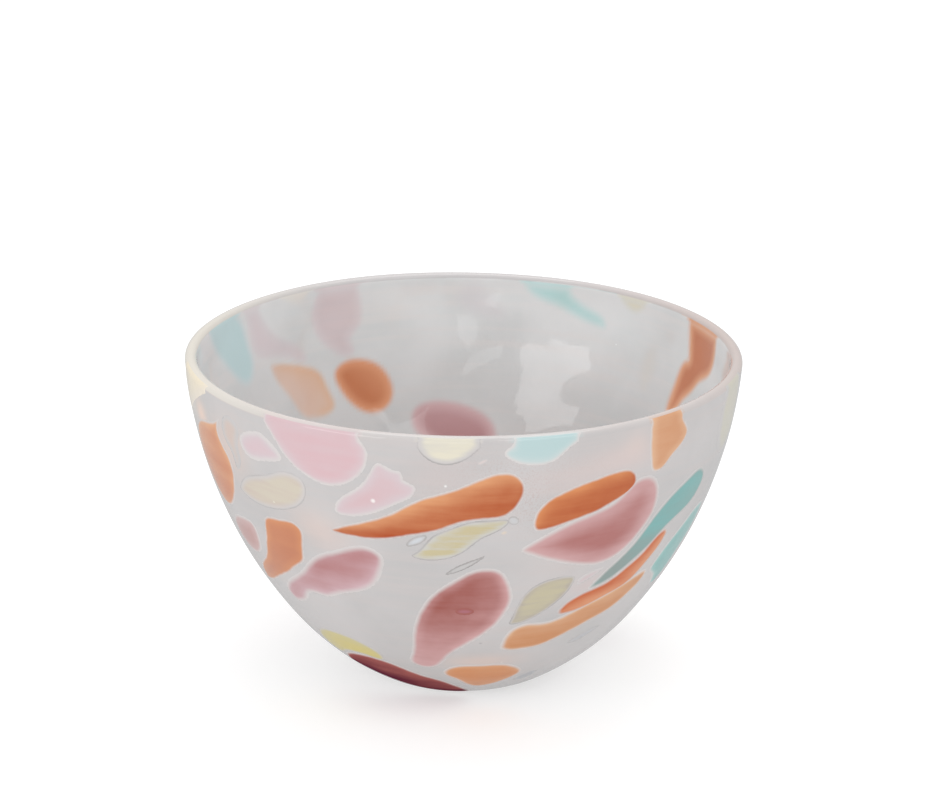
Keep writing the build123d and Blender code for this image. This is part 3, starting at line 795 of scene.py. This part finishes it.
class Wall:
    """The wall's grid of points, and the colours laid on them one over another."""

    def __init__(self):
        self.kinds, r, z, self.lean, self.d = wall_rows()
        self.shape = (len(self.kinds), COLUMNS)
        az = np.arange(COLUMNS) / COLUMNS * 2 * np.pi
        self.az = np.broadcast_to(az[None], self.shape)
        self.r = np.broadcast_to(r, self.shape)
        self.z = np.broadcast_to(z, self.shape)
        self.colour = np.ones(self.shape + (1,)) * np.array(seen(MILK_LIGHT))
        self.share = np.zeros(self.shape)

    def on(self, kind):
        return (self.kinds == kind)[:, None]

    def turn_from(self, centre):
        return (self.az - centre + np.pi) % (2 * np.pi) - np.pi

    def spot(self, centre, at, across, tall, most):
        """A soft oval on the outer face: its azimuth in degrees, its height and half sizes in
        millimetres, and its strength in the middle."""
        u = self.turn_from(math.radians(centre)) * self.r / across
        v = (self.z - at) / tall
        return np.where(self.on("outer"), most * np.exp(-(u * u + v * v)), 0)

    def lay(self, amount, rgb):
        """Lays a colour over what is there."""
        rest = self.share * (1 - amount)
        whole = amount + rest
        laid = np.asarray(rgb) * amount[..., None] + self.colour * rest[..., None]
        laid = laid / np.maximum(whole, 1e-9)[..., None]
        self.colour = np.where((whole > 0)[..., None], laid, self.colour)
        self.share = whole

    def mesh(self):
        """The grid's points with its ripples, and its faces, closed by a point below and above."""
        az, d = self.az, self.d
        height = np.where(self.on("outer"), outer_wave(az, d), 0.0)
        height = np.where(self.on("inner"), -inner_wave(az, d), height)
        points = lift(az, self.r, self.z, self.lean, height)
        ends = [[0, 0, PONTIL_DEPTH * MM], [0, 0, FLOOR_THICKNESS * MM]]
        vertices = np.vstack([points.reshape(-1, 3), ends])
        bottom, top = len(vertices) - 2, len(vertices) - 1
        faces, last = [], self.shape[0] - 1
        for j in range(COLUMNS):
            k = (j + 1) % COLUMNS
            faces.append((bottom, k, j))
            faces.append((top, last * COLUMNS + j, last * COLUMNS + k))
            for low in range(0, last * COLUMNS, COLUMNS):
                high = low + COLUMNS
                faces.append((low + j, low + k, high + k, high + j))
        return vertices, faces


def lay_behind(wall, patch):
    """The piece as it shows through the milky glass on the inner face."""
    look = patch.look
    within = wall.kinds == "inner"
    down, _ = outer_distance(wall.r[within, 0], wall.z[within, 0])
    turn = wall.turn_from(patch.centre)[within]
    down = np.broadcast_to(np.maximum(down, 0)[:, None], turn.shape)
    u, v = patch.flat(turn, down)
    middle = (patch.low + patch.high) / 2
    half = (patch.high - patch.low) / 2 + 3
    near = (np.abs(u - middle[0]) < half[0]) & (np.abs(v - middle[1]) < half[1])
    if not near.any():
        return
    flat = np.stack([u[near], v[near]], 1)
    away = to_line(flat, patch.points)
    signed = np.where(inside(flat, patch.points), away, -away)
    if patch.lip().any():
        # A piece that meets the lip shows right up to it.
        over = flat[:, 1] > patch.points[:, 1].max() - 0.6
        signed = np.where(over & (signed < 0) & (signed > -4), signed + 1.6, signed)
    signed = signed + look["grow"] - GROW + look["wide"]
    blur = 2.2 + 0.45 * look["soft"]
    cover = np.clip((signed + 0.5 * blur) / blur, 0, 1)
    cover = np.maximum(cover * cover * (3 - 2 * cover) * look["show"], 1e-5)
    milky = [mixed(look[part], MILK_DARK, 0.25) for part in ("edge", "core")]
    edge_rgb, core_rgb = (np.array(seen(rgb, INSIDE)) for rgb in THROUGH.get(patch.name, milky))
    blend = patch.shade(flat, np.maximum(signed, 0) + 0.3)[:, None]
    at = np.zeros(wall.shape, bool)
    at[within] = near
    amount, rgb = np.zeros(wall.shape), np.zeros(wall.shape + (3,))
    amount[at] = cover
    rgb[at] = edge_rgb * (1 - blend) + core_rgb * blend
    wall.lay(amount, rgb)


def lay_over_lip(wall, patch):
    """A piece that meets the lip runs on over it, and fades."""
    look = patch.look
    top = patch.points[:, 1].max() - 0.4
    rgb = seen(mixed(look["edge"], look["core"], 0.4))
    for i in np.flatnonzero(wall.kinds == "lip"):
        u = wall.turn_from(patch.centre)[i] * RIM_RADIUS
        flat = np.stack([u, np.full_like(u, top)], 1)
        near = (u > patch.low[0] - 3) & (u < patch.high[0] + 3)
        away = np.zeros(COLUMNS)
        away[near] = to_line(flat[near], patch.points)
        away = np.where(near & inside(flat, patch.points), away, -away)
        cover = np.clip((away + 0.8) / 1.6, 0, 1) * near
        fade = np.clip(1.15 - wall.d[i, 0] / 120, 0, 1)
        amount = np.zeros(wall.shape)
        amount[i] = cover * fade * 0.8 * look["most"]
        wall.lay(amount, rgb)


def lay_lip_painted_light_and_grey(wall):
    """The lip's painted light, laid by where it faces the front: a painted highlight along the crown,
    strongest at the front; a grey over the back; and a painted glow at the sides, where one sees along
    the lip's glass, pinker on the right and whiter on the left.
    """
    facing = [np.clip(np.cos(wall.az - math.radians(a)), 0, 1) for a in (0, 97, -85)]
    crown_highlight = np.exp(-((wall.d - 105) / 38) ** 2) * (0.4 + 0.6 * facing[0])
    away = np.clip(-np.cos(wall.az) + 0.2, 0, 1)
    for amount, rgb in (
        (0.9 * away, (207, 205, 206)),
        # Painted highlight along the crown of the lip, strongest at the front.
        (0.6 * crown_highlight, (240, 230, 226)),
        # Painted glow at the sides, where one sees along the lip's glass: pinker on the right, whiter on
        # the left.
        (0.75 * facing[1] ** 3, (212, 196, 190)),
        (0.85 * facing[2] ** 3, (236, 230, 218)),
    ):
        wall.lay(np.where(wall.on("lip"), amount, 0.0), seen(rgb))


def make_wall(patches):
    wall = Wall()
    for *where, rgb, most in HAZE:
        wall.lay(wall.spot(*where, most), seen(rgb))
    powder = sum(wall.spot(*row) for row in POWDER)
    for patch in patches:
        lay_behind(wall, patch)
    for patch in patches:
        if patch.lip().any():
            lay_over_lip(wall, patch)
    lay_lip_painted_light_and_grey(wall)

    kinds, d = wall.kinds, wall.d[:, 0]
    piece = add_piece("bowl_wall_glass", *wall.mesh(), wall_material(), "milky_glass", "bowl_wall")
    # The two end points, under the foot and in the middle of the floor, come last in each.
    rgba = np.concatenate([wall.colour, wall.share[..., None]], 2).reshape(-1, 4)
    give(piece, "tint", np.vstack([rgba, np.zeros((2, 4))]))
    give(piece, "powder", np.concatenate([powder.ravel(), [0, 0]]))
    # The within share: how strongly painted light lightens the inner face and the lip's inner side.
    deeper = np.interp(d, GAIN_DOWN, GAIN_SHARE)
    over_lip = np.clip((d - GAIN_FROM) / GAIN_OVER, 0, 1)
    share = np.where(kinds == "inner", deeper, np.where(kinds == "lip", over_lip, 0.0))
    give(piece, "within", np.concatenate([np.repeat(share, COLUMNS), [0, GAIN_SHARE[-1]]]))
    ground = np.where((kinds == "foot") & (wall.r[:, 0] <= PONTIL_RADIUS + 0.1), 1.0, 0.0)
    give(piece, "ground", np.concatenate([np.repeat(ground, COLUMNS), [1, 0]]))


# Soft hazes of colour in the outer wall: azimuth, height, half width, half height, colour and
# strength. Powder is the same, without a colour.
HAZE = [
    (-54, 92, 7, 9, (232, 204, 190), 0.45),
    (-33, 74, 9, 6, (232, 208, 198), 0.35),
    (33, 98, 16, 5, (222, 204, 200), 0.6),
    (22, 93, 14, 5, (216, 202, 200), 0.5),
    (36, 102, 5, 4, (230, 208, 200), 0.35),
    (-82, 101, 12, 8, (250, 238, 216), 0.9),
    (-68, 97, 5, 4, (250, 216, 196), 0.7),
    (-60, 88, 4, 9, (236, 204, 190), 0.5),
    (-29, 70, 8, 6, (230, 204, 196), 0.25),
    (-4, 96, 12, 7, (208, 196, 194), 0.5),
    (6, 23, 12, 3, (230, 204, 192), 0.55),
    (22, 62, 12, 8, (208, 198, 196), 0.4),
    (33, 53, 8, 3, (222, 198, 196), 0.4),
]
POWDER = [
    (14, 88, 8, 10, 0.55),
    (5, 99, 12, 5, 0.3),
    (24, 97, 12, 5, 0.3),
    (-5, 92, 10, 8, 0.2),
]

# Small things in the glass: bubbles, flecks, a dimple, and a loop and a ring of clear glass.
# Name: azimuth, height, half width, half height, tilt, kind, own looks, how far above the wall.
BITS = {
    "bubble_in_shard": (-17.9, 86.5, 1.15, 1.15, 0.0, "pink_glass",
                        dict(edge=(226, 210, 212), core=(244, 238, 236), under=(217, 190, 194),
                             reach=0.8, soft=0.5), 0.10),
    "bubble_in_rose": (0.8, 46.5, 3.0, 1.7, 0.0, "rose_glass",
                       dict(edge=(168, 106, 106), core=(180, 120, 132), under=(166, 104, 99),
                            reach=1.4, soft=2.0), 0.10),
    "seed_by_ribbon": (-3.3, 93.2, 0.75, 0.75, 0.0, "clear_glass",
                       dict(edge=(222, 218, 216), core=(240, 238, 236), reach=0.5, soft=0.3,
                            line=0.0), 0.0),
    "seed_in_cream": (-42.8, 78.2, 0.7, 0.6, 0.0, "clear_glass",
                      dict(edge=(224, 218, 208), core=(238, 234, 228), under=(213, 206, 188),
                           reach=0.5, soft=0.3, line=0.0), 0.10),
    "fleck_pink": (3.8, 101.3, 2.2, 0.7, 0.5, "pink_glass",
                   dict(edge=(220, 208, 206), core=(228, 208, 204), soft=0.6), 0.0),
    "fleck_peach": (8.6, 76.8, 1.4, 0.9, 0.3, "peach_glass",
                    dict(edge=(222, 208, 194), core=(226, 208, 190), soft=0.8), 0.0),
    "dimple_low": (5.5, 32.0, 0.8, 0.6, 0.0, "clear_glass",
                   dict(edge=(176, 174, 176), core=(182, 180, 184), soft=0.5, line=0.3), 0.0),
    "loop_clear": (10.4, 81.0, 1.9, 1.5, -0.6, "clear_glass", dict(line=0.7, soft=1.0), 0.0),
    "ring_clear_back": (192.0, 71.0, 2.4, 2.2, 0.0, "clear_glass", dict(line=0.6, show=0.0), 0.0),
}


def bit(name):
    azimuth, height, wide, tall, tilt, kind, own, raised = BITS[name]
    look = {**base_look(kind), "pale": 0.0, **own}
    return Patch(name, oval(azimuth, height, wide, tall, tilt), look, raised)


coloured = sorted(node for node in SLOTS if node != "bowl_wall")
patches = [Patch(node, outline_of(node), finish_of(node)) for node in coloured]
make_wall(patches)
for patch in patches + [bit(name) for name in BITS]:
    make_chip(patch)


# ---------------------------------------------------------------- floor, light, camera

FLOOR_SIDES, FLOOR_RADIUS = 64, 6
BOWL_MIDDLE = Vector((0, 0, 0.07))

# Azimuth, elevation, distance, width, height and radiance.
SOFTBOXES = {
    "softbox_left": (-48, 20, 1.1, 0.62, 0.36, 1.85),
    "softbox_right": (34, 40, 1.3, 0.62, 0.5, 1.15),
    "softbox_front": (-8, 10, 1.5, 0.5, 0.4, 1.1),
    "softbox_top": (160, 78, 1.3, 1.0, 0.7, 1.6),
}

# The world's strength, and its strength where glass mirrors it.
WORLD, WORLD_MIRRORED = 1.0, 0.55

# Fitted to the bowl's silhouette in the photograph: metres, degrees and millimetres.
CAMERA_PLACE = (0.0, -0.94129, 0.40437)
CAMERA_TURN = (71.586, -0.5734, 0.0405)
CAMERA_LENS = 116.46


def dimmer_in_reflections(socket, tree, full, dim):
    """A strength that is full to the eye and in the light it gives, and dim where glass mirrors it."""
    path = tree.nodes.new("ShaderNodeLightPath")
    mix = tree.nodes.new("ShaderNodeMapRange")
    tree.links.new(path.outputs["Is Glossy Ray"], mix.inputs["Value"])
    mix.inputs["To Min"].default_value, mix.inputs["To Max"].default_value = full, dim
    tree.links.new(mix.outputs[0], socket)


def make_floor():
    """A round of pale paper, glowing a little, that glass mirrors dimly."""
    mesh = bpy.data.meshes.new("floor")
    turns = np.linspace(0, 2 * math.pi, FLOOR_SIDES + 1)[:-1]
    ring = [(FLOOR_RADIUS * math.cos(a), FLOOR_RADIUS * math.sin(a), 0) for a in turns]
    mesh.from_pydata(ring, [], [tuple(range(FLOOR_SIDES))])
    s = Shader("floor_paper")
    colour = s.mix(s.noise(1.5, 2), (0.60, 0.60, 0.60), (0.62, 0.62, 0.62))
    path = s.node("ShaderNodeLightPath").outputs["Is Glossy Ray"]
    colour = s.mix(path, colour, (0.1, 0.1, 0.1))
    s.principled({"Base Color": colour, "Roughness": 0.9, "Specular IOR Level": 0.0,
                  "Emission Color": (1, 1, 1, 1), "Emission Strength": 0.46})
    mesh.materials.append(s.material)
    floor = bpy.data.objects.new("floor", mesh)
    bpy.context.scene.collection.objects.link(floor)


def softbox(name, azimuth, elevation, distance, width, height, radiance):
    """A soft lamp that faces the middle of the bowl."""
    a, e = math.radians(azimuth), math.radians(elevation)
    light = bpy.data.lights.new(name, "AREA")
    light.shape = "RECTANGLE"
    light.size, light.size_y = width, height
    light.energy = radiance * math.pi * width * height
    lamp = bpy.data.objects.new(name, light)
    back = Vector((math.sin(a) * math.cos(e), -math.cos(a) * math.cos(e), math.sin(e)))
    lamp.location = BOWL_MIDDLE + back * distance
    lamp.rotation_euler = back.to_track_quat("Z", "Y").to_euler()
    bpy.context.scene.collection.objects.link(lamp)


def make_world():
    world = bpy.data.worlds.new("studio")
    world.use_nodes = True
    background = world.node_tree.nodes["Background"]
    background.inputs["Color"].default_value = (1.0, 1.0, 1.0, 1.0)
    dimmer_in_reflections(background.inputs["Strength"], world.node_tree, WORLD, WORLD_MIRRORED)
    bpy.context.scene.world = world
    bpy.context.scene.view_settings.view_transform = "Standard"


def make_camera():
    camera = bpy.data.objects.new("camera", bpy.data.cameras.new("camera"))
    camera.location = CAMERA_PLACE
    camera.rotation_euler = tuple(math.radians(a) for a in CAMERA_TURN)
    camera.data.sensor_width = 36.0
    camera.data.lens = CAMERA_LENS
    camera.data.clip_start = 0.01
    bpy.context.scene.collection.objects.link(camera)
    bpy.context.scene.camera = camera


make_floor()
for name, settings in SOFTBOXES.items():
    softbox(name, *settings)
make_world()
make_camera()
